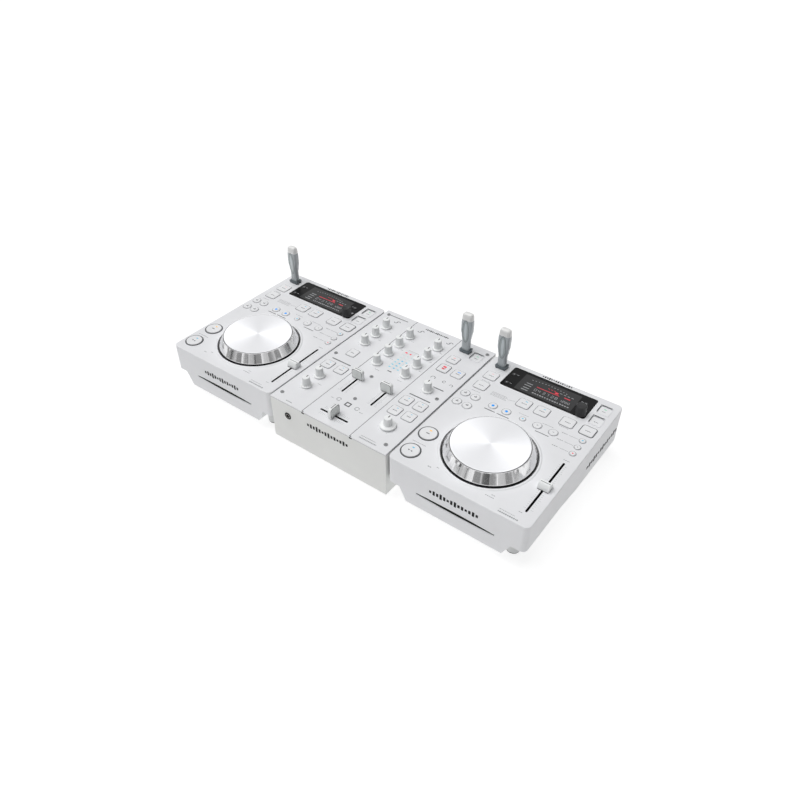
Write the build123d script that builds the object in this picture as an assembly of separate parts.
from build123d import *
import os

# A three-piece disc jockey set standing side by side: a disc and memory-stick player,
# a two-channel mixer, and a second player. Millimetres. +X to the right, +Y to the back,
# +Z up. The origin is on the table, under the centre of the row's overall box.
# Inside each unit, x runs from its left side, y from its front face, and z from the
# top face of its panel, so everything below the panel has a negative z.

# ---- overall sizes ----
PLAYER_W = 222.0
PLAYER_D = 296.5
MIXER_W = 222.0
MIXER_D = 300.0
UNIT_GAP = 2.8          # free space between neighbouring units
PANEL_HEIGHT = 89.0     # from the table to the top face of every panel
JACK_OUT = 8.5          # how far the phono sockets stand out of the rear panels

# ---- walls and sheets ----
WALL = 2.5              # moulded player shells
PANEL_T = 3.0           # player top wall
SHEET = 2.0             # mixer chassis sheet
PLATE_T = 2.0           # mixer faceplate
CORNER_R = 8.5          # upright corners of a player
EDGE_R = 1.2            # top edge of a player
CHASSIS_H = 80.0        # mixer body, faceplate included
SEAM = 0.2              # clearance between shells that meet
BOARD_T = 1.6
BOARD_TOP = -15.0       # component side of every board, below the panel
BOARD_SIDE = 5.0        # board edge from the unit's sides
BOARD_FRONT = 7.0
BOARD_BACK = 14.0

# ---- lower edge of a player's side band, as depth below the panel ----
BAND_FRONT = 47.0
BAND_KNEE_1 = 50.0
BAND_KNEE_2 = 57.5
BAND_BACK = 62.0
KNEE_1_Y = 100.0
KNEE_2_Y = 155.0
BELLY_DEPTH = 70.0      # underside of the trough that holds the disc drive
BELLY_TOP_INSET = 21.0  # where the trough's sloping sides start, from each side of the unit
BELLY_FOOT_INSET = 33.0
BELLY_BACK_GAP = 6.0

# ---- feet ----
PAD_T = 2.5
PAD_INSET = 1.0
PLAYER_FOOT_R = 11.0
PLAYER_FOOT_X = 30.3    # from each side
PLAYER_FOOT_Y = 32.0    # from front and back
MIXER_FOOT_R = 11.0
MIXER_FOOT_INSET = 24.0

# ---- jog wheel ----
JOG_RIM_R = 66.6        # wheel at panel level
JOG_WELL_R = JOG_RIM_R + 2.0    # round opening in the panel
JOG_TOP_R = JOG_RIM_R - 9.6     # bright top plate
JOG_HEIGHT = 17.9       # top plate above the panel
JOG_PLATE_T = 2.0
PLATE_GAP = 0.1         # between the plate and the rim's lip
PLATE_CHAMFER = 0.5
JOG_WEB_T = 3.0
JOG_LIP = 1.3           # rim's rise around the top plate
JOG_SKIRT = 9.0         # rim below the panel
JOG_WALL = 2.6
JOG_BEVEL_LOW = 0.5     # where the rim's slope ends, above the panel
JOG_SKIN = 0.4          # the spindle's bore stops this far below the web
JOG_SPINDLE_R = 6.0
RUNNING = 0.05          # radial clearance of a shaft in its bore
WELL_FLOOR_T = 2.0
WELL_SIDE_T = 1.2
WELL_GAP = 0.1          # between the dish and the panel's opening
WELL_DROP = 0.3         # dish edge below the panel
SPINDLE_END = 0.5       # free above the spindle
WELL_DEPTH = 13.4
JOG_FRONT = 90.6        # wheel centre from the front
JOG_OFF_CENTRE = 2.5    # wheel centre left of the unit's middle

# ---- keys ----
KEY_GAP = 0.4           # all round a key in its hole
KEY_UP = 1.0            # face above the panel
KEY_FLANGE = 1.2        # flange wider than the hole, all round
KEY_FLANGE_T = 1.6
KEY_TRAVEL = 0.8
STOP_GAP = 0.3          # flange below the panel at rest
SWITCH_GAP = 0.2        # left over the switch at full travel
SWITCH_W = 6.0
TRANSPORT_R = 13.2      # play and cue button faces
TRANSPORT_HOLE_R = TRANSPORT_R + 1.2
TRANSPORT_UP = 1.6
TRANSPORT_EDGE = 0.6
TRANSPORT_TRAVEL = 1.2
SEARCH_R = 6.9
LOOP_R = 6.4
MODE_R = 4.4
RELOOP_R = 4.2
SQUARE_KEY = (20.6, 20.0)
SMALL_KEY = (17.5, 19.6)
MIXER_KEY = (18.4, 19.2)
MIC_KEY = (16.5, 19.2)
KEY_CORNER = 3.0
KEY_CHAMFER = 0.4
SUNK_KEY_DROP = 1.2     # the two guarded keys sit below the panel

# ---- display ----
WINDOW_W = 143.7
WINDOW_D = 53.5
WINDOW_CORNER = 4.0
WINDOW_BACK = 9.5       # from the unit's back to the window
WINDOW_GAP = 0.15
DISPLAY_MODULE = (91.7, 41.5)
DISPLAY_KEY_R = 3.4
ENCODER_R = 6.0
SELECTOR_R = 8.5
SELECTOR_H = 18.0
SELECTOR_EDGE = 1.0

# ---- tempo slider and mixer faders ----
STEM_W = 1.6
SLOT_W = STEM_W + 1.0
STEM_L = 4.0
ROUND_END = 0.495       # corner radius as a share of a slot's width
STEM_DEPTH = 8.0
TEMPO_SLOT = 109.0
TEMPO_SLOT_FRONT = 24.4
TEMPO_CAP = (17.0, 14.0, 10.6)
TEMPO_SHOULDER = 5.8
TEMPO_GRIP = 6.3        # flat top of the cap, front to back
TEMPO_RIGHT = 17.9      # slot line from the unit's right side
TEMPO_REST = 76.0       # cap centre from the front, as set in the row
FADER_SLOT = 43.4
FADER_SLOT_FRONT = 72.2
FADER_CAP = (21.0, 6.2, 18.0)
FADER_SHOULDER = 4.5    # rounding of a fader cap's upper corners
FADER_END = 1.2         # stem from the slot's end at the back stop
CROSS_SLOT = 52.2
CROSS_Y = 21.7
CAP_LIFT = 0.6          # underside of every cap and knob above the panel
SLIDER_UNIT_W = 11.0
SLIDER_GROOVE = STEM_W + 1.8
SLIDER_FLOOR = 2.0      # left under the groove
SLIDER_END = 5.0

# ---- mixer knobs ----
SHAFT_R = 3.0
SHAFT_TOP = 10.0
SHAFT_END = 0.5         # free above a shaft in its knob
BODY_GAP = 0.5          # between a control's body and the sheet above it
POT_W = 14.0
SHAFT_HOLE_R = SHAFT_R + 0.8
KNOB_SKIRT_R = 9.2
KNOB_SKIRT_H = 2.6
SKIRT_BEVEL = 1.1
KNOB_BASE_R = 7.0
KNOB_TOP_R = 5.9
KNOB_H = 17.0
EFFECT_SKIRT_R = 12.5
EFFECT_SKIRT_H = 4.2

# ---- memory sticks and their sockets ----
STICK_W = 20.5
STICK_T = 13.0
STICK_NECK_W = 14.6
STICK_NECK_T = 9.6
STICK_H = 74.0
STICK_BASE = 2.6        # lower end of the body above the panel
STICK_OUTLINE = [       # (height above the base, width, depth)
    (0, STICK_NECK_W, STICK_NECK_T),
    (20, STICK_NECK_W, STICK_NECK_T),
    (30, (STICK_NECK_W + STICK_W) / 2, (STICK_NECK_T + STICK_T) / 2),
    (40, STICK_W, STICK_T),
    (54, STICK_W, STICK_T),
    (64, STICK_W - 1.5, STICK_T - 1.0),
    (STICK_H - STICK_BASE, STICK_W - 3.5, STICK_T - 2.6),
]
PLUG_W = 12.0
PLUG_T = 4.5
PLUG_L = 11.5
PLUG_GAP = 0.3
PLUG_END = 0.5          # free under the plug
SEAT_GAP = 0.6          # free under the body in the collar
SOCKET_W = STICK_NECK_W + 2.4
SOCKET_D = STICK_NECK_T + 3.0
SOCKET_UP = 5.0         # flared collar above the panel
SOCKET_FLARE = 0.8
SOCKET_SHELL = 1.4
SOCKET_CORNER = 1.0

# ---- disc slot and drive ----
DISC_SLOT_W = 126.0
DISC_SLOT_MID = 6.2
DISC_SLOT_END = 2.6
DISC_SLOT_Z = -43.5
DRIVE_W = DISC_SLOT_W + 22.0
DRIVE_D = 176.0
DRIVE_TOP = -30.0
DRIVE_FRONT = 6.0       # from the player's front face
DRIVE_SHEET = 1.2
DRIVE_SLOT_H = 6.8

# ---- sockets and inlets ----
PHONES_X = 34.0
PHONES_Z = -25.0
JACK_BORE_R = 3.25
JACK_NUT_R = 6.0
JACK_PROUD = 0.6        # nut in front of its panel
JACK_BODY = (16.0, 26.0, 12.0)
JACK_DEPTH = 24.0
PHONO_R = 4.15
PHONO_PIN_R = 1.6
PHONO_BODY = 12.0
PHONO_NECK_R = 3.6      # barrel where it passes through the panel
PHONO_PITCH = 18.0
PHONO_RISE = 9.0        # above and below the middle of a mixer's pair
PHONO_INNER = 9.0       # depth of the block behind the panel
PLAYER_PHONO_X = 40.0   # first socket, from the player's right side
MIXER_PHONO_X = 60.0
PLAYER_REAR_Z = -36.0   # rear sockets of a player
MIXER_REAR_Z = -42.0
MIC_JACK_X = 30.0       # from the mixer's right side
MINI_BORE_R = 1.8
MINI_NUT_R = 3.2
MINI_DEPTH = 14.0
MINI_BODY = (8.0, 13.0, 8.0)
PLAYER_INLET_X = 34.0
MIXER_INLET_X = 28.0
INLET = (22.0, 18.0, 14.0)
INLET_CAVITY = (16.0, 9.5)
INLET_PIN_R = 1.2
INLET_PIN_X = 4.3
INLET_CAVITY_DEPTH = 12.0
INLET_PIN_SHORT = 2.0   # pin ends below the panel

# ---- power supplies ----
PLAYER_SUPPLY = (90.0, 72.0, 30.0)
SUPPLY_GAP = 8.0        # from the drive and from the trough's side
MIXER_SUPPLY = (72.0, 72.0, 28.0)
MIXER_SUPPLY_X = 18.0
MIXER_SUPPLY_BACK = 38.0

# ---- screws and posts ----
SCREW_HEAD_R = 3.1
SCREW_HEAD_H = 1.3
SCREW_CHAMFER = 0.4
SCREW_R = 1.5
SCREW_HOLE_R = 1.7
SCREW_L = 9.0
BOSS_R = 4.0
POST_R = 3.5
POST_X = 10.0           # board posts of a player, from each side
POST_Y = 60.0           # and from front and back

# ---- level meter ----
METER_COLUMNS = (-10.2, -1.8, 6.5)
METER_BAR_W = 5.0
METER_BAR_L = 54.0
METER_CORNER = 0.6
METER_EDGE = 1.8        # strip past the bars
METER_BACK = 108.0      # middle of the bars from the mixer's back

# ---- where the units stand ----
FRONT_Y = -(max(PLAYER_D, MIXER_D) + JACK_OUT) / 2
LEFT_X = -MIXER_W / 2 - UNIT_GAP - PLAYER_W
MIXER_X = -MIXER_W / 2
RIGHT_X = MIXER_W / 2 + UNIT_GAP
PLAYERS = {"left": LEFT_X, "right": RIGHT_X}

# ---- control positions, from the edges of their unit or from the middle of its controls ----
MID_SHIFT = 2.0         # the controls' middle is this far right of the unit's
MID_P = PLAYER_W / 2 + MID_SHIFT
MID_M = MIXER_W / 2 + MID_SHIFT
JOG_X = MID_P - JOG_OFF_CENTRE
PLAY_AT = (19.9, 28.3)
CUE_AT = (19.9, 71.8)
ROW_1 = PLAYER_D - 83.2       # square keys beside the display
ROW_2 = PLAYER_D - 53.5
ROW_3 = PLAYER_D - 26.0
SEARCH_BACK = PLAYER_D - 114.3
SEARCH_FRONT = PLAYER_D - 138.4
LOOP_Y = PLAYER_D - 115.5
SEARCH_KEYS = [(x, y) for y in (SEARCH_BACK, SEARCH_FRONT) for x in (12.7, 30.7)]
LOOP_KEYS = [(MID_P - x, LOOP_Y) for x in (50.5, 27.4, -24.3, -50.0)]
RELOOP_AT = (MID_P, LOOP_Y)
MODE_KEYS = [(PLAYER_W - 17.3, PLAYER_D - y) for y in (107.0, 123.2, 138.9)]
SQUARE_KEYS = [
    (22.7, ROW_1),
    (22.7, ROW_2),
    (MID_P - 15.2, ROW_1),
    (MID_P + 15.0, ROW_1),
    (PLAYER_W - 52.0, ROW_1),
    (PLAYER_W - 20.0, ROW_1),
]
SUNK_KEYS = [(PLAYER_W - 19.8, ROW_2 - 1.2), (PLAYER_W - 19.8, ROW_3)]
DISPLAY_KEYS = [
    (MID_P - 63.2, PLAYER_D - 28.2),
    (MID_P - 62.9, PLAYER_D - 52.8),
    (MID_P + 60.0, PLAYER_D - 28.2),
]
SELECTOR_AT = (MID_P + 63.2, PLAYER_D - 55.5)
PLAYER_STICK_AT = (24.2, PLAYER_D - 23.5)
MIXER_STICK_AT = (MIXER_W - 43.2, MIXER_D - 24.0)

KNOB_ROWS = [MIXER_D - y for y in (46.3, 76.3, 106.4, 137.6)]
KNOBS = {
    "mic_level_knob": (30.3, KNOB_ROWS[0]),
    "mic_high_knob": (30.3, KNOB_ROWS[1]),
    "mic_low_knob": (30.3, MIXER_D - 105.5),
    "ch1_trim_knob": (MID_M - 32.6, KNOB_ROWS[0]),
    "ch1_high_knob": (MID_M - 32.6, KNOB_ROWS[1]),
    "ch1_mid_knob": (MID_M - 32.6, KNOB_ROWS[2]),
    "ch1_low_knob": (MID_M - 32.6, KNOB_ROWS[3]),
    "ch2_trim_knob": (MID_M + 24.5, KNOB_ROWS[0]),
    "ch2_high_knob": (MID_M + 24.5, KNOB_ROWS[1]),
    "ch2_mid_knob": (MID_M + 24.5, KNOB_ROWS[2]),
    "ch2_low_knob": (MID_M + 24.5, KNOB_ROWS[3]),
    "phones_mix_knob": (29.4, 81.0),
    "phones_level_knob": (29.4, 50.4),
    "master_level_knob": (MIXER_W - 34.8, MIXER_D - 147.4),
    "effect_knob": (MIXER_W - 33.3, 49.7),
}
FADERS = {"ch1_fader": MID_M - 30.6, "ch2_fader": MID_M + 25.9}
FADER_REST = FADER_SLOT_FRONT + FADER_SLOT - STEM_L / 2 - FADER_END
CROSS_X = MID_M - 3.2
MIXER_LEFT_KEYS = [((32.3, 160.0), MIC_KEY), ((19.1, 112.8), MIXER_KEY), ((46.3, 112.8), MIXER_KEY)]
MIXER_RIGHT_KEYS = [
    ((MIXER_W - 46.2, MIXER_D - 57.0), MIXER_KEY),
    ((MIXER_W - 45.9, MIXER_D - 85.4), MIXER_KEY),
    ((MIXER_W - 19.2, MIXER_D - 85.4), MIXER_KEY),
    ((MIXER_W - 46.6, 113.7), MIXER_KEY),
    ((MIXER_W - 21.0, 113.7), MIXER_KEY),
    ((MIXER_W - 46.6, 85.0), MIXER_KEY),
    ((MIXER_W - 21.0, 85.0), MIXER_KEY),
]
MIXER_SUNK_KEY = (MIXER_W - 19.6, MIXER_D - 28.7)
SCREWS = [
    (9.6, 16.5),
    (9.6, MIXER_D - 156.4),
    (9.6, MIXER_D - 12.0),
    (MIXER_W - 12.4, 17.0),
    (MIXER_W - 11.5, MIXER_D - 156.4),
    (MIXER_W - 9.0, MIXER_D - 12.0),
    (MID_M - 16.6, 128.1),
    (MID_M - 2.9, 70.2),
]


# ---- small helpers, all in unit coordinates ----
def block(x0, x1, y0, y1, z0, z1):
    """A box between two corners."""
    middle = Pos((x0 + x1) / 2, (y0 + y1) / 2, (z0 + z1) / 2)
    return middle * Box(x1 - x0, y1 - y0, z1 - z0)


def around(at, width, depth, z0, z1):
    """A box about an upright line."""
    return Pos(at[0], at[1], (z0 + z1) / 2) * Box(width, depth, z1 - z0)


def post(at, radius, z0, z1):
    """An upright cylinder."""
    return Pos(at[0], at[1], (z0 + z1) / 2) * Cylinder(radius, z1 - z0)


def bar_y(x, z, radius, y0, y1):
    """A cylinder that lies along Y."""
    return Pos(x, (y0 + y1) / 2, z) * Rot(90, 0, 0) * Cylinder(radius, y1 - y0)


def tablet(at, size, corner, z0, z1):
    """An upright slab with rounded corners."""
    return Pos(at[0], at[1], z0) * extrude(RectangleRounded(size[0], size[1], corner), z1 - z0)


def grown(size, amount):
    """A width and depth, larger all round by amount."""
    return (size[0] + 2 * amount, size[1] + 2 * amount)


def turned(points):
    """A solid of revolution about Z from (radius, height) points."""
    return revolve(Plane.XZ * make_face(Polyline(*points, close=True)), Axis.Z)


def across(points, x0, x1):
    """A (y, z) outline extruded along X."""
    return Pos(x0, 0, 0) * extrude(Plane.YZ * make_face(Polyline(*points, close=True)), x1 - x0)


def along(points, y0, y1):
    """An (x, z) outline extruded along Y."""
    return Pos(0, y0, 0) * extrude(Plane.XZ * make_face(Polyline(*points, close=True)), y0 - y1)


def placed(shapes, unit_x):
    """Unit coordinates to the row's frame, as one group of solids."""
    solids = [solid for shape in shapes for solid in shape.solids()]
    return Compound([Pos(unit_x, FRONT_Y, PANEL_HEIGHT) * solid for solid in solids])


def save(name, *groups):
    """Write one node."""
    solids = [solid for group in groups for solid in group.solids()]
    export_step(solids[0] if len(solids) == 1 else Compound(solids), f"parts/{name}.step")


# ---- keys ----
def key_outlines():
    """Every small round key of a player as (place, radius)."""
    rounds = [(at, SEARCH_R) for at in SEARCH_KEYS]
    rounds += [(at, LOOP_R) for at in LOOP_KEYS]
    rounds += [(RELOOP_AT, RELOOP_R)]
    rounds += [(at, MODE_R) for at in MODE_KEYS]
    return rounds


def round_key(at, radius):
    """A round cap with its retaining flange under a player's top wall."""
    bottom = -PANEL_T - STOP_GAP - KEY_FLANGE_T
    cap = post(at, radius, -PANEL_T, KEY_UP)
    cap = chamfer(cap.edges().group_by(Axis.Z)[-1], KEY_CHAMFER)
    root = post(at, radius, bottom, -PANEL_T)
    root += post(at, radius + KEY_GAP + KEY_FLANGE, bottom, -PANEL_T - STOP_GAP)
    return cap + (root & inside_walls())


def slab_key(at, size, rise, sheet):
    """A rounded-square cap with its retaining flange under the panel."""
    bottom = -sheet - STOP_GAP - KEY_FLANGE_T
    cap = tablet(at, size, KEY_CORNER, bottom, rise)
    cap = chamfer(cap.edges().group_by(Axis.Z)[-1], KEY_CHAMFER)
    flange = tablet(at, grown(size, KEY_GAP + KEY_FLANGE), KEY_CORNER, bottom, -sheet - STOP_GAP)
    return cap + flange


def round_hole(at, radius, sheet):
    return post(at, radius, -sheet - 1, 2)


def slab_hole(at, size, sheet):
    return tablet(at, grown(size, KEY_GAP), KEY_CORNER + KEY_GAP, -sheet - 1, 2)


def slot_hole(centre, size, sheet):
    """A long slot with round ends."""
    return tablet(centre, size, min(size) * ROUND_END, -sheet - 1, 2)


def socket_hole(at, sheet):
    """The opening that a memory stick's socket stands in."""
    return tablet(at, grown((SOCKET_W, SOCKET_D), SEAM), SOCKET_CORNER + SEAM, -sheet - 1, 2)


def switch(at, sheet, travel):
    """The push switch under a key, standing on its board."""
    top = -sheet - STOP_GAP - KEY_FLANGE_T - travel - SWITCH_GAP
    return around(at, SWITCH_W, SWITCH_W, BOARD_TOP, top)


# ---- player shells ----
def band_depth(y):
    """Depth of the side band's lower edge at y."""
    knots = [(0, BAND_FRONT), (KNEE_1_Y, BAND_KNEE_1), (KNEE_2_Y, BAND_KNEE_2), (PLAYER_D, BAND_BACK)]
    for (y0, d0), (y1, d1) in zip(knots, knots[1:]):
        if y <= y1:
            return d0 + (d1 - d0) * (y - y0) / (y1 - y0)
    return BAND_BACK


def under_line(lift, bottom):
    """Everything between the band's lower edge raised by lift and a flat bottom."""
    stations = (0, KNEE_1_Y, KNEE_2_Y, PLAYER_D)
    line = [(y, -band_depth(y) + lift) for y in stations]
    return across([(0, bottom)] + line + [(PLAYER_D, bottom)], 0, PLAYER_W)


def footprint(inset, z0, z1):
    """The player's plan outline, smaller by inset all round."""
    size = (PLAYER_W - 2 * inset, PLAYER_D - 2 * inset)
    return tablet((PLAYER_W / 2, PLAYER_D / 2), size, CORNER_R - inset, z0, z1)


def inside_walls():
    """Room for key flanges between a player's side walls."""
    return footprint(WALL + KEY_GAP, -BAND_FRONT, 0)


def trough_outline(inset):
    """Cross-section of the trough under a player, smaller by inset."""
    slope = (BELLY_FOOT_INSET - BELLY_TOP_INSET) / (BELLY_DEPTH - BAND_FRONT)
    side = inset * (1 + slope**2) ** 0.5
    top = BELLY_TOP_INSET + side - slope * WALL
    foot = BELLY_FOOT_INSET + side - slope * inset
    return [
        (top, -BAND_FRONT + WALL),
        (foot, -BELLY_DEPTH + inset),
        (PLAYER_W - foot, -BELLY_DEPTH + inset),
        (PLAYER_W - top, -BAND_FRONT + WALL),
    ]


def disc_slot(y0, y1):
    """Lens-shaped mouth for the disc, tallest in the middle."""
    half, mid, end = DISC_SLOT_W / 2, DISC_SLOT_MID / 2, DISC_SLOT_END / 2
    upper = ThreePointArc((-half, end), (0, mid), (half, end))
    lower = ThreePointArc((half, -end), (0, -mid), (-half, -end))
    rim = upper + Line((half, end), (half, -end)) + lower + Line((-half, -end), (-half, end))
    mouth = extrude(Plane.XZ * make_face(rim), y0 - y1)
    return Pos(MID_P, y0, DISC_SLOT_Z) * mouth


def tempo_slot_centre():
    return (PLAYER_W - TEMPO_RIGHT, TEMPO_SLOT_FRONT + TEMPO_SLOT / 2)


def player_holes():
    """Everything that is cut through a player's top wall."""
    holes = [round_hole((JOG_X, JOG_FRONT), JOG_WELL_R, PANEL_T)]
    holes += [round_hole(at, TRANSPORT_HOLE_R, PANEL_T) for at in (PLAY_AT, CUE_AT)]
    holes += [round_hole(at, radius + KEY_GAP, PANEL_T) for at, radius in key_outlines()]
    holes += [slab_hole(at, SQUARE_KEY, PANEL_T) for at in SQUARE_KEYS]
    holes += [slab_hole(at, SMALL_KEY, PANEL_T) for at in SUNK_KEYS]
    holes.append(slot_hole(tempo_slot_centre(), (SLOT_W, TEMPO_SLOT), PANEL_T))
    window = grown((WINDOW_W, WINDOW_D), WINDOW_GAP)
    holes.append(tablet(window_centre(), window, WINDOW_CORNER + WINDOW_GAP, -PANEL_T - 1, 2))
    holes.append(socket_hole(PLAYER_STICK_AT, PANEL_T))
    return holes


def window_centre():
    return (MID_P + 0.9, PLAYER_D - WINDOW_BACK - WINDOW_D / 2)


def player_upper_case():
    """Top wall, side band and the chin that drops below the disc slot."""
    band = footprint(0, -BAND_BACK - 1, 0)
    band = fillet(band.edges().group_by(Axis.Z)[-1], EDGE_R)
    band -= under_line(0, -BAND_BACK - 2)
    shell = band - footprint(WALL, -BAND_BACK - 2, -PANEL_T)
    shell += along(trough_outline(0), 0, WALL)
    cuts = player_holes() + [disc_slot(-1, WALL + 1)]
    for x, z, radius in player_rear_holes():
        cuts.append(bar_y(x, z, radius + SEAM, PLAYER_D - WALL - 1, PLAYER_D + 1))
    cuts.append(inlet_hole(PLAYER_INLET_X, PLAYER_D, WALL, PLAYER_REAR_Z))
    return shell - cuts


def player_lower_case():
    """Floor, trough for the drive and the board's posts."""
    inset = WALL + SEAM
    sheet = under_line(WALL, -BELLY_DEPTH) - under_line(0, -BELLY_DEPTH - 1)
    case = footprint(inset, -BELLY_DEPTH - 1, 0) & sheet
    case += trough(0) & under_line(WALL, -BELLY_DEPTH - 1)
    case -= trough(WALL)
    for at in corners(POST_X, POST_Y, PLAYER_W, PLAYER_D):
        case += post(at, POST_R, -band_depth(at[1]) + WALL / 2, BOARD_TOP - BOARD_T)
    return case


def trough(inset):
    """The trough's outer body, or with inset its hollow."""
    front = WALL + SEAM + inset
    back = PLAYER_D - BELLY_BACK_GAP - inset
    return along(trough_outline(inset), front, back)


def corners(inset_x, inset_y, width, depth):
    """Four places, one near each corner of a unit."""
    return [(x, y) for x in (inset_x, width - inset_x) for y in (inset_y, depth - inset_y)]


def player_board():
    """Main board of a player with its switches and its display module."""
    bottom = BOARD_TOP - BOARD_T
    board = block(BOARD_SIDE, PLAYER_W - BOARD_SIDE, BOARD_FRONT, PLAYER_D - BOARD_BACK, bottom, BOARD_TOP)
    for at, radius in key_outlines():
        board += switch(at, PANEL_T, KEY_TRAVEL)
    for at in SQUARE_KEYS + SUNK_KEYS:
        board += switch(at, PANEL_T, KEY_TRAVEL)
    for at in (PLAY_AT, CUE_AT):
        board += switch(at, PANEL_T, TRANSPORT_TRAVEL)
    for at in DISPLAY_KEYS:
        board += switch(at, PANEL_T, KEY_TRAVEL)
    board += post(SELECTOR_AT, ENCODER_R, BOARD_TOP, -PANEL_T - BODY_GAP)
    board += post(SELECTOR_AT, SHAFT_R, -PANEL_T - 1, SHAFT_TOP)
    width, depth = DISPLAY_MODULE
    return board + around(window_centre(), width, depth, BOARD_TOP, -PANEL_T)


def display_window():
    """Glossy window plate, flush with the panel."""
    plate = tablet(window_centre(), (WINDOW_W, WINDOW_D), WINDOW_CORNER, -PANEL_T, 0)
    cuts = [round_hole(at, DISPLAY_KEY_R + KEY_GAP, PANEL_T) for at in DISPLAY_KEYS]
    cuts.append(round_hole(SELECTOR_AT, SHAFT_HOLE_R, PANEL_T))
    return plate - cuts


def disc_drive():
    """Slot-loading drive: a sheet casing with an open mouth for the disc."""
    middle = (MID_P, DRIVE_FRONT + DRIVE_D / 2)
    floor = -BELLY_DEPTH + WALL
    casing = around(middle, DRIVE_W, DRIVE_D, floor, DRIVE_TOP)
    inner = (DRIVE_W - 2 * DRIVE_SHEET, DRIVE_D - 2 * DRIVE_SHEET)
    casing -= around(middle, *inner, floor + DRIVE_SHEET, DRIVE_TOP - DRIVE_SHEET)
    low = DISC_SLOT_Z - DRIVE_SLOT_H / 2
    mouth = around((MID_P, DRIVE_FRONT), DISC_SLOT_W, 4 * DRIVE_SHEET, low, low + DRIVE_SLOT_H)
    return casing - mouth


def jog_well():
    """Dark dish under the wheel, with the spindle it turns on."""
    outer = JOG_WELL_R - WELL_GAP
    inner = outer - WELL_SIDE_T
    floor = -WELL_DEPTH + WELL_FLOOR_T
    spindle = JOG_SPINDLE_R - RUNNING
    spindle_top = jog_bore_top() - SPINDLE_END
    points = [
        (0, -WELL_DEPTH),
        (outer, -WELL_DEPTH),
        (outer, -WELL_DROP),
        (inner, -WELL_DROP),
        (inner, floor),
        (spindle, floor),
        (spindle, spindle_top),
        (0, spindle_top),
    ]
    return Pos(JOG_X, JOG_FRONT, 0) * turned(points)


def jog_bore_top():
    """Height of the closed end of the wheel's bore."""
    return JOG_HEIGHT - JOG_PLATE_T - JOG_WEB_T - JOG_SKIN


def jog_ring():
    """Bright bevelled rim with its web and hub."""
    web_top = JOG_HEIGHT - JOG_PLATE_T
    web_low = web_top - JOG_WEB_T
    lip_top = web_top + JOG_LIP
    hub_r = 2 * JOG_SPINDLE_R
    points = [
        (0, web_top),
        (JOG_TOP_R, web_top),
        (JOG_TOP_R, lip_top),
        (JOG_TOP_R + JOG_LIP, lip_top),
        (JOG_RIM_R, JOG_BEVEL_LOW),
        (JOG_RIM_R, -JOG_SKIRT),
        (JOG_RIM_R - JOG_WALL, -JOG_SKIRT),
        (JOG_RIM_R - JOG_WALL, 0),
        (JOG_TOP_R - JOG_WALL, web_low),
        (hub_r, web_low),
        (hub_r, -JOG_SKIRT),
        (JOG_SPINDLE_R, -JOG_SKIRT),
        (JOG_SPINDLE_R, jog_bore_top()),
        (0, jog_bore_top()),
    ]
    return Pos(JOG_X, JOG_FRONT, 0) * turned(points)


def jog_top():
    """Flat bright plate that the hand rests on."""
    plate = post((JOG_X, JOG_FRONT), JOG_TOP_R - PLATE_GAP, JOG_HEIGHT - JOG_PLATE_T, JOG_HEIGHT)
    return chamfer(plate.edges().group_by(Axis.Z)[-1], PLATE_CHAMFER)


def transport_button(at):
    """Play or cue button: a wide round face in a dark gap."""
    bottom = -PANEL_T - STOP_GAP - KEY_FLANGE_T
    cap = post(at, TRANSPORT_R, bottom, TRANSPORT_UP)
    cap = fillet(cap.edges().group_by(Axis.Z)[-1], TRANSPORT_EDGE)
    flange = post(at, TRANSPORT_HOLE_R + KEY_FLANGE, bottom, -PANEL_T - STOP_GAP)
    return cap + (flange & inside_walls())


def round_keys():
    return [round_key(at, radius) for at, radius in key_outlines()]


def square_keys():
    keys = [slab_key(at, SQUARE_KEY, KEY_UP, PANEL_T) for at in SQUARE_KEYS]
    keys += [slab_key(at, SMALL_KEY, -SUNK_KEY_DROP, PANEL_T) for at in SUNK_KEYS]
    return keys


def display_keys():
    return [round_key(at, DISPLAY_KEY_R) for at in DISPLAY_KEYS]


def selector_knob():
    """Tall turning selector beside the display."""
    knob = post(SELECTOR_AT, SELECTOR_R, CAP_LIFT, SELECTOR_H)
    knob = fillet(knob.edges().group_by(Axis.Z)[-1], SELECTOR_EDGE)
    return knob - post(SELECTOR_AT, SHAFT_R + RUNNING, 0, SHAFT_TOP + SHAFT_END)


def slider_unit(centre, slot_size, sheet):
    """Slide potentiometer under a slot: a body with a groove for the lever."""
    along_x = slot_size[0] > slot_size[1]
    length = max(slot_size)
    body = (length + 2 * SLIDER_END, SLIDER_UNIT_W)
    groove = (length, SLIDER_GROOVE)
    if not along_x:
        body, groove = body[::-1], groove[::-1]
    top = -sheet - BODY_GAP
    return around(centre, *body, BOARD_TOP, top) - around(centre, *groove, BOARD_TOP + SLIDER_FLOOR, 0)


def lever(at):
    """Flat stem of a slider cap, reaching down into the slider unit."""
    return around(at, STEM_W, STEM_L, -STEM_DEPTH, CAP_LIFT + 1)


def tempo_knob():
    """Low wide slider cap with a raised grip."""
    width, depth, height = TEMPO_CAP
    x = PLAYER_W - TEMPO_RIGHT
    half, run = width / 2, depth / 2
    outline = [
        (TEMPO_REST - run, CAP_LIFT),
        (TEMPO_REST - run, TEMPO_SHOULDER),
        (TEMPO_REST - TEMPO_GRIP / 2, height),
        (TEMPO_REST + TEMPO_GRIP / 2, height),
        (TEMPO_REST + run, TEMPO_SHOULDER),
        (TEMPO_REST + run, CAP_LIFT),
    ]
    cap = across(outline, x - half, x + half)
    return cap + lever((x, TEMPO_REST))


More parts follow.
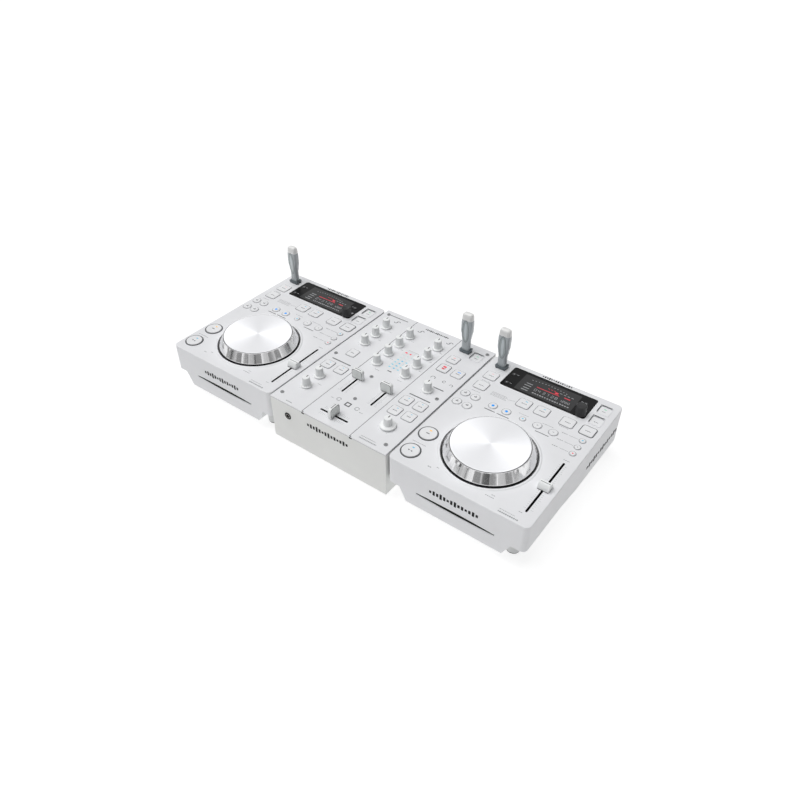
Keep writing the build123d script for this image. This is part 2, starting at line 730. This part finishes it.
def fader_cap(x, y, horizontal):
    """Thin upright fader cap with rounded shoulders and its lever."""
    width, thick, height = FADER_CAP
    face = Pos(0, (CAP_LIFT + height) / 2, 0) * RectangleRounded(width, height - CAP_LIFT, FADER_SHOULDER)
    face += Pos(0, (CAP_LIFT + height / 2) / 2, 0) * Rectangle(width, height / 2 - CAP_LIFT)
    cap = Pos(0, thick / 2, 0) * extrude(Plane.XZ * face, thick)
    cap += lever((0, 0))
    return Pos(x, y, 0) * Rot(0, 0, 90 if horizontal else 0) * cap


def player_foot(at):
    """Round post with a narrower pad, cut to fit under the floor and beside the trough."""
    pad_top = -PANEL_HEIGHT + PAD_T
    foot = post(at, PLAYER_FOOT_R, pad_top, -BAND_FRONT) & under_line(0, -PANEL_HEIGHT)
    return foot - trough(0) + post(at, PLAYER_FOOT_R - PAD_INSET, -PANEL_HEIGHT, pad_top)


def player_feet():
    return [player_foot(at) for at in corners(PLAYER_FOOT_X, PLAYER_FOOT_Y, PLAYER_W, PLAYER_D)]


def mixer_feet():
    places = corners(MIXER_FOOT_INSET, MIXER_FOOT_INSET, MIXER_W, MIXER_D)
    return [post(at, MIXER_FOOT_R, -PANEL_HEIGHT, -CHASSIS_H) for at in places]


# ---- memory sticks ----
def stick_socket(at):
    """Upright socket with a flared collar; the stick's plug goes down into it."""
    mouth = grown((PLUG_W, PLUG_T), PLUG_GAP)
    collar = tablet(at, (SOCKET_W, SOCKET_D), SOCKET_CORNER, -PLATE_T, SOCKET_UP)
    crown = Pos(at[0], at[1], SOCKET_UP) * Rectangle(*grown((SOCKET_W, SOCKET_D), SOCKET_FLARE))
    waist = Pos(at[0], at[1], CAP_LIFT) * Rectangle(SOCKET_W, SOCKET_D)
    collar += loft([waist, crown])
    shell = tablet(at, grown(mouth, SOCKET_SHELL), SOCKET_CORNER, BOARD_TOP, -PLATE_T)
    seat = STICK_BASE - SEAT_GAP
    recess = tablet(at, grown((STICK_NECK_W, STICK_NECK_T), PLUG_GAP), SOCKET_CORNER, seat, SOCKET_UP + 1)
    pocket = around(at, *mouth, STICK_BASE - PLUG_L - PLUG_END, SOCKET_UP + 1)
    return collar + shell - recess - pocket


def silhouette(plane, sizes):
    """Upright form with the given widths at the given heights, deeper than the stick."""
    right = [(width / 2, STICK_BASE + height) for height, width in sizes]
    left = [(-x, z) for x, z in reversed(right)]
    face = plane * make_face(Polyline(*(right + left), close=True))
    return extrude(face, STICK_W, both=True)


def stick(at):
    """Memory stick, narrow at the neck and bulging above its middle."""
    body = silhouette(Plane.XZ, [(height, width) for height, width, _ in STICK_OUTLINE])
    body &= silhouette(Plane.YZ, [(height, depth) for height, _, depth in STICK_OUTLINE])
    body += around((0, 0), PLUG_W, PLUG_T, STICK_BASE - PLUG_L, STICK_BASE + 1)
    return Pos(at[0], at[1], 0) * body


# ---- mixer ----
def mixer_chassis():
    """Folded steel tray, open at the top, with bosses for the faceplate screws."""
    tray = block(0, MIXER_W, 0, MIXER_D, -CHASSIS_H, -PLATE_T)
    tray -= block(SHEET, MIXER_W - SHEET, SHEET, MIXER_D - SHEET, -CHASSIS_H + SHEET, 0)
    for at in SCREWS:
        tray += post(at, BOSS_R, -CHASSIS_H + SHEET / 2, -PLATE_T)
    cuts = [post(at, SCREW_R + RUNNING, -PLATE_T - SCREW_L, 0) for at in SCREWS]
    cuts.append(bar_y(PHONES_X, PHONES_Z, JACK_NUT_R + SEAM, -1, SHEET + 1))
    for x, z, radius in mixer_rear_holes():
        cuts.append(bar_y(x, z, radius + SEAM, MIXER_D - SHEET - 1, MIXER_D + 1))
    cuts.append(inlet_hole(MIXER_INLET_X, MIXER_D, SHEET, MIXER_REAR_Z))
    return tray - cuts


def mixer_slots():
    """Centre and size of the slots for the two channel faders and the crossfader."""
    slots = [((x, FADER_SLOT_FRONT + FADER_SLOT / 2), (SLOT_W, FADER_SLOT)) for x in FADERS.values()]
    return slots + [((CROSS_X, CROSS_Y), (CROSS_SLOT, SLOT_W))]


def mixer_holes():
    """Everything that is cut through the mixer's faceplate."""
    holes = [round_hole(at, SHAFT_HOLE_R, PLATE_T) for at in KNOBS.values()]
    holes += [round_hole(at, SCREW_HOLE_R, PLATE_T) for at in SCREWS]
    holes += [slab_hole(at, size, PLATE_T) for at, size in MIXER_LEFT_KEYS + MIXER_RIGHT_KEYS]
    holes.append(slab_hole(MIXER_SUNK_KEY, SMALL_KEY, PLATE_T))
    holes += [slot_hole(centre, size, PLATE_T) for centre, size in mixer_slots()]
    for bar in meter_bars():
        holes.append(tablet(bar, grown((METER_BAR_W, METER_BAR_L), SEAM), METER_CORNER, -PLATE_T - 1, 2))
    holes.append(socket_hole(MIXER_STICK_AT, PLATE_T))
    return holes


def mixer_faceplate():
    plate = block(0, MIXER_W, 0, MIXER_D, -PLATE_T, 0)
    return plate - mixer_holes()


def meter_bars():
    return [(MID_M + x, MIXER_D - METER_BACK) for x in METER_COLUMNS]


def level_meter():
    """Light bars of the level meter on their common strip."""
    first, last = meter_bars()[0], meter_bars()[-1]
    middle = ((first[0] + last[0]) / 2, first[1])
    width, depth = grown((last[0] - first[0] + METER_BAR_W, METER_BAR_L), METER_EDGE)
    strip = around(middle, width, depth, BOARD_TOP, -PLATE_T - BODY_GAP)
    for bar in meter_bars():
        strip += tablet(bar, (METER_BAR_W, METER_BAR_L), METER_CORNER, -PLATE_T - 1, 0)
    return strip


def mixer_board():
    """Main board of the mixer with its switches, cut clear of the screw bosses."""
    bottom = BOARD_TOP - BOARD_T
    board = block(BOARD_SIDE, MIXER_W - BOARD_SIDE, BOARD_FRONT, MIXER_D - BOARD_BACK, bottom, BOARD_TOP)
    for at, size in MIXER_LEFT_KEYS + MIXER_RIGHT_KEYS:
        board += switch(at, PLATE_T, KEY_TRAVEL)
    board += switch(MIXER_SUNK_KEY, PLATE_T, KEY_TRAVEL)
    return board - [post(at, BOSS_R + BODY_GAP, bottom - 1, BOARD_TOP + 1) for at in SCREWS]


def potentiometer(at):
    """Rotary control on the board, its shaft standing up through the faceplate."""
    body = around(at, POT_W, POT_W, BOARD_TOP, -PLATE_T - BODY_GAP)
    return body + post(at, SHAFT_R, -PLATE_T - 1, SHAFT_TOP)


def mixer_knob(at, skirt_r, skirt_h):
    """Slim tapered knob on a round skirt, bored for its shaft."""
    bore_r = SHAFT_R + RUNNING
    bore_top = SHAFT_TOP + SHAFT_END
    points = [
        (bore_r, CAP_LIFT),
        (skirt_r, CAP_LIFT),
        (skirt_r, CAP_LIFT + skirt_h - SKIRT_BEVEL),
        (skirt_r - SKIRT_BEVEL, CAP_LIFT + skirt_h),
        (KNOB_BASE_R, CAP_LIFT + skirt_h),
        (KNOB_TOP_R, KNOB_H),
        (0, KNOB_H),
        (0, bore_top),
        (bore_r, bore_top),
    ]
    return Pos(at[0], at[1], 0) * turned(points)


def knob(name):
    if name == "effect_knob":
        return mixer_knob(KNOBS[name], EFFECT_SKIRT_R, EFFECT_SKIRT_H)
    return mixer_knob(KNOBS[name], KNOB_SKIRT_R, KNOB_SKIRT_H)


def faceplate_screw(at):
    head = post(at, SCREW_HEAD_R, 0, SCREW_HEAD_H)
    head = chamfer(head.edges().group_by(Axis.Z)[-1], SCREW_CHAMFER)
    return head + post(at, SCREW_R, -SCREW_L, SCREW_HEAD_H / 2)


def mixer_left_keys():
    return [slab_key(at, size, KEY_UP, PLATE_T) for at, size in MIXER_LEFT_KEYS]


def mixer_right_keys():
    keys = [slab_key(at, size, KEY_UP, PLATE_T) for at, size in MIXER_RIGHT_KEYS]
    keys.append(slab_key(MIXER_SUNK_KEY, SMALL_KEY, -SUNK_KEY_DROP, PLATE_T))
    return keys


# ---- rear panels, inlets and power supplies ----
def player_phonos():
    """Left, right and digital outputs of a player."""
    return [(PLAYER_W - PLAYER_PHONO_X - PHONO_PITCH * i, PLAYER_REAR_Z) for i in range(3)]


def player_mini():
    """The control jack, next in line after the outputs."""
    return (PLAYER_W - PLAYER_PHONO_X - PHONO_PITCH * 3, PLAYER_REAR_Z)


def player_rear_holes():
    holes = [(x, z, PHONO_R) for x, z in player_phonos()]
    return holes + [(player_mini()[0], player_mini()[1], MINI_NUT_R)]


def mixer_phonos():
    """Six stereo pairs: two inputs for each channel, the master and record outputs."""
    columns = [MIXER_W - MIXER_PHONO_X - PHONO_PITCH * i for i in range(6)]
    return [(x, MIXER_REAR_Z + rise) for x in columns for rise in (-PHONO_RISE, PHONO_RISE)]


def mic_jack_at():
    return (MIXER_W - MIC_JACK_X, MIXER_REAR_Z)


def mixer_rear_holes():
    holes = [(x, z, PHONO_R) for x, z in mixer_phonos()]
    return holes + [(mic_jack_at()[0], mic_jack_at()[1], JACK_NUT_R)]


def inlet_hole(x, rear_y, wall, z):
    half_w, half_h = INLET[0] / 2 + SEAM, INLET[2] / 2 + SEAM
    return block(x - half_w, x + half_w, rear_y - wall - 1, rear_y + 1, z - half_h, z + half_h)


def power_inlet(x, rear_y, z):
    """Two-pin mains inlet, flush in the rear panel."""
    half_w, half_h = INLET[0] / 2, INLET[2] / 2
    body = block(x - half_w, x + half_w, rear_y - INLET[1], rear_y, z - half_h, z + half_h)
    open_w, open_h = INLET_CAVITY[0] / 2, INLET_CAVITY[1] / 2
    body -= block(x - open_w, x + open_w, rear_y - INLET_CAVITY_DEPTH, rear_y + 1, z - open_h, z + open_h)
    for side in (-INLET_PIN_X, INLET_PIN_X):
        body += bar_y(x + side, z, INLET_PIN_R, rear_y - INLET_CAVITY_DEPTH - 1, rear_y - INLET_PIN_SHORT)
    return body


def phono_socket(x, z, rear_y, wall):
    """Phono socket: a barrel through the rear panel on a block inside."""
    half = PHONO_BODY / 2
    inner = rear_y - wall - SEAM
    body = block(x - half, x + half, inner - PHONO_INNER, inner, z - half, z + half)
    body += bar_y(x, z, PHONO_NECK_R, rear_y - wall - 1, rear_y + 1)
    body += bar_y(x, z, PHONO_R, rear_y, rear_y + JACK_OUT)
    return body - bar_y(x, z, PHONO_PIN_R, rear_y - wall, rear_y + JACK_OUT + 1)


def jack_socket(x, z):
    """6.35 mm jack socket that looks along -Y from a front wall at y = 0."""
    width, depth, height = JACK_BODY
    inner = SHEET + SEAM
    body = block(x - width / 2, x + width / 2, inner, inner + depth, z - height / 2, z + height / 2)
    body += bar_y(x, z, JACK_NUT_R, -JACK_PROUD, inner + 1)
    return body - bar_y(x, z, JACK_BORE_R, -1, JACK_DEPTH)


def mini_socket(x, z, rear_y, wall):
    """3.5 mm jack socket, its nut flush with the rear panel."""
    width, depth, height = MINI_BODY
    inner = rear_y - wall - SEAM
    body = block(x - width / 2, x + width / 2, inner - depth, inner, z - height / 2, z + height / 2)
    body += bar_y(x, z, MINI_NUT_R, rear_y - wall - 1, rear_y)
    return body - bar_y(x, z, MINI_BORE_R, rear_y - MINI_DEPTH, rear_y + 1)


def signal_jacks():
    """Every audio socket of the three units."""
    groups = []
    for unit_x in PLAYERS.values():
        phonos = [phono_socket(x, z, PLAYER_D, WALL) for x, z in player_phonos()]
        mini = mini_socket(player_mini()[0], player_mini()[1], PLAYER_D, WALL)
        groups.append(placed(phonos + [mini], unit_x))
    phonos = [phono_socket(x, z, MIXER_D, SHEET) for x, z in mixer_phonos()]
    phones = jack_socket(PHONES_X, PHONES_Z)
    mic_x, mic_z = mic_jack_at()
    mic = Pos(mic_x, MIXER_D, mic_z) * Rot(0, 0, 180) * jack_socket(0, 0)
    groups.append(placed(phonos + [phones, mic], MIXER_X))
    return groups


def player_supply():
    """Enclosed supply in the trough behind the drive."""
    y0 = DRIVE_FRONT + DRIVE_D + SUPPLY_GAP
    x0 = BELLY_FOOT_INSET + SUPPLY_GAP
    width, depth, height = PLAYER_SUPPLY
    floor = -BELLY_DEPTH + WALL
    return block(x0, x0 + width, y0, y0 + depth, floor, floor + height)


def mixer_supply():
    """Enclosed supply on the chassis floor, near the inlet."""
    width, depth, height = MIXER_SUPPLY
    x0, y1 = MIXER_SUPPLY_X, MIXER_D - MIXER_SUPPLY_BACK
    floor = -CHASSIS_H + SHEET
    return block(x0, x0 + width, y1 - depth, y1, floor, floor + height)


# ---- write every node ----
def write_player(side, unit_x):
    save(f"player_upper_case_{side}", placed([player_upper_case()], unit_x))
    save(f"player_lower_case_{side}", placed([player_lower_case()], unit_x))
    save(f"jog_ring_{side}", placed([jog_ring()], unit_x))
    save(f"jog_top_{side}", placed([jog_top()], unit_x))
    save(f"play_button_{side}", placed([transport_button(PLAY_AT)], unit_x))
    save(f"cue_button_{side}", placed([transport_button(CUE_AT)], unit_x))
    save(f"round_keys_{side}", placed(round_keys(), unit_x))
    save(f"square_keys_{side}", placed(square_keys(), unit_x))
    save(f"display_keys_{side}", placed(display_keys(), unit_x))
    save(f"selector_knob_{side}", placed([selector_knob()], unit_x))
    save(f"tempo_knob_{side}", placed([tempo_knob()], unit_x))
    save(f"memory_stick_{side}", placed([stick(PLAYER_STICK_AT)], unit_x))


def write_mixer():
    save("mixer_chassis", placed([mixer_chassis()], MIXER_X))
    save("mixer_faceplate", placed([mixer_faceplate()], MIXER_X))
    save("level_meter", placed([level_meter()], MIXER_X))
    save("potentiometers", placed([potentiometer(at) for at in KNOBS.values()], MIXER_X))
    save("faceplate_screws", placed([faceplate_screw(at) for at in SCREWS], MIXER_X))
    for name in KNOBS:
        save(name, placed([knob(name)], MIXER_X))
    for name, x in FADERS.items():
        save(name, placed([fader_cap(x, FADER_REST, False)], MIXER_X))
    save("crossfader", placed([fader_cap(CROSS_X, CROSS_Y, True)], MIXER_X))
    save("mixer_left_keys", placed(mixer_left_keys(), MIXER_X))
    save("mixer_right_keys", placed(mixer_right_keys(), MIXER_X))
    save("memory_stick_mixer", placed([stick(MIXER_STICK_AT)], MIXER_X))


def both_players(shapes):
    return [placed(shapes, unit_x) for unit_x in PLAYERS.values()]


def write_shared():
    save("display_windows", *both_players([display_window()]))
    save("disc_drives", *both_players([disc_drive()]))
    save("jog_wells", *both_players([jog_well()]))
    save("circuit_boards", *both_players([player_board()]), placed([mixer_board()], MIXER_X))
    save("feet", *both_players(player_feet()), placed(mixer_feet(), MIXER_X))
    sockets = both_players([stick_socket(PLAYER_STICK_AT)])
    save("stick_sockets", *sockets, placed([stick_socket(MIXER_STICK_AT)], MIXER_X))
    tempo = slider_unit(tempo_slot_centre(), (SLOT_W, TEMPO_SLOT), PANEL_T)
    mixer = [slider_unit(centre, size, PLATE_T) for centre, size in mixer_slots()]
    save("slider_units", *both_players([tempo]), placed(mixer, MIXER_X))
    save("signal_jacks", *signal_jacks())
    inlets = both_players([power_inlet(PLAYER_INLET_X, PLAYER_D, PLAYER_REAR_Z)])
    save("power_inlets", *inlets, placed([power_inlet(MIXER_INLET_X, MIXER_D, MIXER_REAR_Z)], MIXER_X))
    save("power_supplies", *both_players([player_supply()]), placed([mixer_supply()], MIXER_X))


os.makedirs("parts", exist_ok=True)
for side, unit_x in PLAYERS.items():
    write_player(side, unit_x)
write_mixer()
write_shared()
